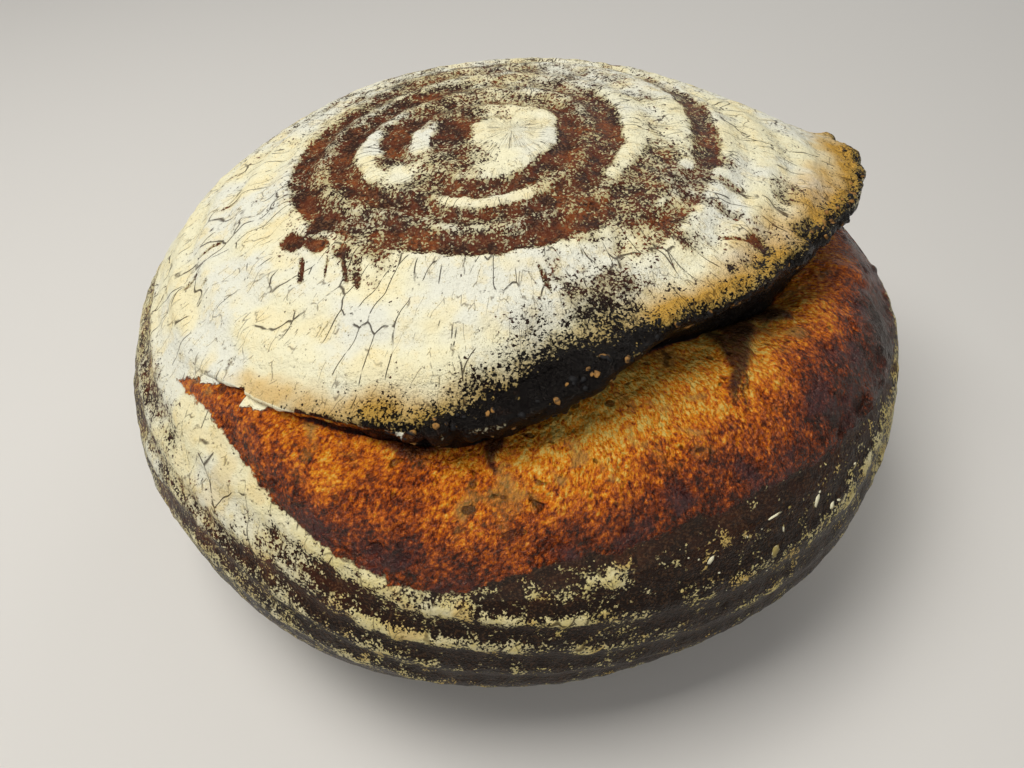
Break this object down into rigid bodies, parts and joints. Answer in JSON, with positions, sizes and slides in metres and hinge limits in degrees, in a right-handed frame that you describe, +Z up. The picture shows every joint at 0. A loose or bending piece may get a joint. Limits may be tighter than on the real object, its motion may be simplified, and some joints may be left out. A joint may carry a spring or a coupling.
{
  "type": "farmhouse bread loaf",
  "caption": "Round rustic bread loaf with a floured, ring-marked domed top, a raised ragged lip over a browned open slash, and a flat base.",
  "frame": {"origin": "on the surface the loaf stands on, under the middle of the loaf, at the centre of its flat base", "axes": "+Z up through the domed top; the slash and its raised lip face -Y and run round towards +X"},
  "size_m": [0.2372, 0.2341, 0.1242],
  "materials": {
    "floured_crust": "dull baked crust under dry white flour",
    "torn_crust": "browned bread crust, slightly glossy"
  },
  "bodies": {
    "root": {"farmhouse_loaf": "floured_crust"}
  },
  "joints": []
}
